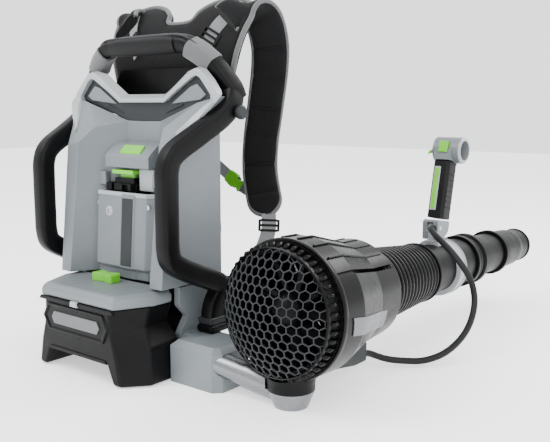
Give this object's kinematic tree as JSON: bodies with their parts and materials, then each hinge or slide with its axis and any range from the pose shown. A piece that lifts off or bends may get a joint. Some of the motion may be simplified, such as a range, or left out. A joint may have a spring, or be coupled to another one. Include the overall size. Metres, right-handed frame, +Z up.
{
  "type": "backpack leaf blower",
  "caption": "Battery backpack leaf blower: padded harness frame with an arched battery, an axial blower on a side swivel, bellows, straight tube with nozzle and a pistol-grip handle.",
  "frame": {"origin": "on the floor, in the pack's middle plane, under its base plate", "axes": "+X to the wearer's right, where the blower is; +Y forward, the way the air blows; +Z up"},
  "size_m": [0.6504, 0.9336, 0.6166],
  "materials": {
    "grey_shell": "satin, light pebble grain",
    "light_grey": "semi-gloss",
    "dark_grey": "fine pebble grain",
    "black_plastic": "moulded, fine grain",
    "gloss_black": "gloss",
    "soft_black": "soft overmould",
    "bellows_rubber": "semi-gloss rubber",
    "green": "satin green",
    "silver": "satin anodised",
    "steel": "machined",
    "badge": "blank plate, satin",
    "cells": "sleeved cells",
    "board": "potted circuit board",
    "pad_fabric": "padded mesh fabric",
    "webbing": "woven webbing",
    "dark_webbing": "woven webbing",
    "cable_sleeve": "corrugated sleeve"
  },
  "bodies": {
    "pack": {"base_frame": "grey_shell", "back_plate": "black_plastic", "shell": "grey_shell", "top_rim": "light_grey", "rim_liner": "dark_grey", "column_cover": "grey_shell", "latch_block": "grey_shell", "terminal_block": "black_plastic", "controller_board": "board", "side_bar_right": "black_plastic", "side_bar_left": "black_plastic", "top_handle": "dark_grey", "handle_grip": "soft_black", "handle_loops": "dark_webbing", "hanger_stud": "dark_grey", "support_pipe": "silver", "pivot_elbow": "silver", "lower_collar": "black_plastic", "cover_screws": "steel", "back_pad": "pad_fabric", "waist_belt": "pad_fabric", "yoke_pad": "pad_fabric", "shoulder_strap_right": "pad_fabric", "shoulder_strap_left": "pad_fabric", "harness_webbing": "webbing", "chest_strap": "webbing", "chest_buckle": "green"},
    "battery": {"battery_case": "black_plastic", "battery_top": "grey_shell", "battery_stem": "dark_grey", "battery_badge": "badge", "cell_pack": "cells"},
    "knob": {"lock_knob": "green"},
    "release": {"release_button": "green"},
    "ejector": {"ejector_cap": "green"},
    "blower": {"intake_grille": "black_plastic", "louvre_ring": "black_plastic", "fan_housing": "black_plastic", "motor_duct": "gloss_black", "upper_housing": "gloss_black", "side_cover": "gloss_black", "cable_fin": "dark_grey", "upper_collar": "black_plastic", "motor_stator": "steel", "bellows": "bellows_rubber", "control_cable": "cable_sleeve"},
    "fan": {"fan_impeller": "black_plastic", "fan_shaft": "steel"},
    "tube": {"inner_tube": "black_plastic", "far_tube": "black_plastic", "tube_clamp": "light_grey"},
    "nozzle": {"nozzle": "black_plastic"},
    "handle": {"handle_knuckle": "grey_shell", "hinge_pin": "steel", "grip": "soft_black", "grip_strip": "green", "control_head": "grey_shell"},
    "trigger": {"trigger": "black_plastic"},
    "boost": {"boost_button": "green"},
    "cruise": {"cruise_lever": "green"}
  },
  "joints": [
    {"name": "battery_slide", "type": "slide", "parent": "pack", "child": "battery", "axis": [0, 0, -1], "range_m": [0, 0.2]},
    {"name": "knob_turn", "type": "hinge", "parent": "battery", "child": "knob", "pos_m": [-0.008, -0.092, 0.14], "axis": [0, 0, 1], "range_deg": [0, 90]},
    {"name": "release_press", "type": "slide", "parent": "pack", "child": "release", "axis": [0, 0, -1], "range_m": [0, 0.004], "stiffness_N_per_m": 300, "springref_m": -0.002},
    {"name": "ejector_press", "type": "slide", "parent": "pack", "child": "ejector", "axis": [0, 0, -1], "range_m": [0, 0.005], "stiffness_N_per_m": 300, "springref_m": -0.002},
    {"name": "blower_swivel", "type": "hinge", "parent": "pack", "child": "blower", "pos_m": [0.336, -0.045, 0.035], "axis": [0, 0, 1], "range_deg": [-8, 12]},
    {"name": "fan_spin", "type": "hinge", "parent": "blower", "child": "fan", "pos_m": [0.333, -0.08, 0.141], "axis": [0, 0.9997, -0.0262], "continuous": true},
    {"name": "tube_pitch", "type": "hinge", "parent": "blower", "child": "tube", "pos_m": [0.333, 0.2249, 0.13302], "axis": [1, 0, 0], "range_deg": [-10, 10], "deforming": ["bellows", "control_cable"]},
    {"name": "nozzle_twist", "type": "hinge", "parent": "tube", "child": "nozzle", "pos_m": [0.333, 0.61976, 0.12268], "axis": [0, 0.9997, -0.0262], "range_deg": [0, 25]},
    {"name": "handle_tilt", "type": "hinge", "parent": "tube", "child": "handle", "pos_m": [0.333, 0.38, 0.204], "axis": [1, 0, 0], "range_deg": [-12, 12]},
    {"name": "trigger_pull", "type": "slide", "parent": "handle", "child": "trigger", "axis": [0, -0.9763, 0.2164], "range_m": [0, 0.004], "stiffness_N_per_m": 400, "springref_m": -0.002},
    {"name": "boost_press", "type": "slide", "parent": "handle", "child": "boost", "axis": [0, 0.9763, -0.2164], "range_m": [0, 0.003], "stiffness_N_per_m": 300, "springref_m": -0.002},
    {"name": "cruise_turn", "type": "hinge", "parent": "handle", "child": "cruise", "pos_m": [0.309, 0.43395, 0.34119], "axis": [1, 0, 0], "range_deg": [0, 60]}
  ]
}
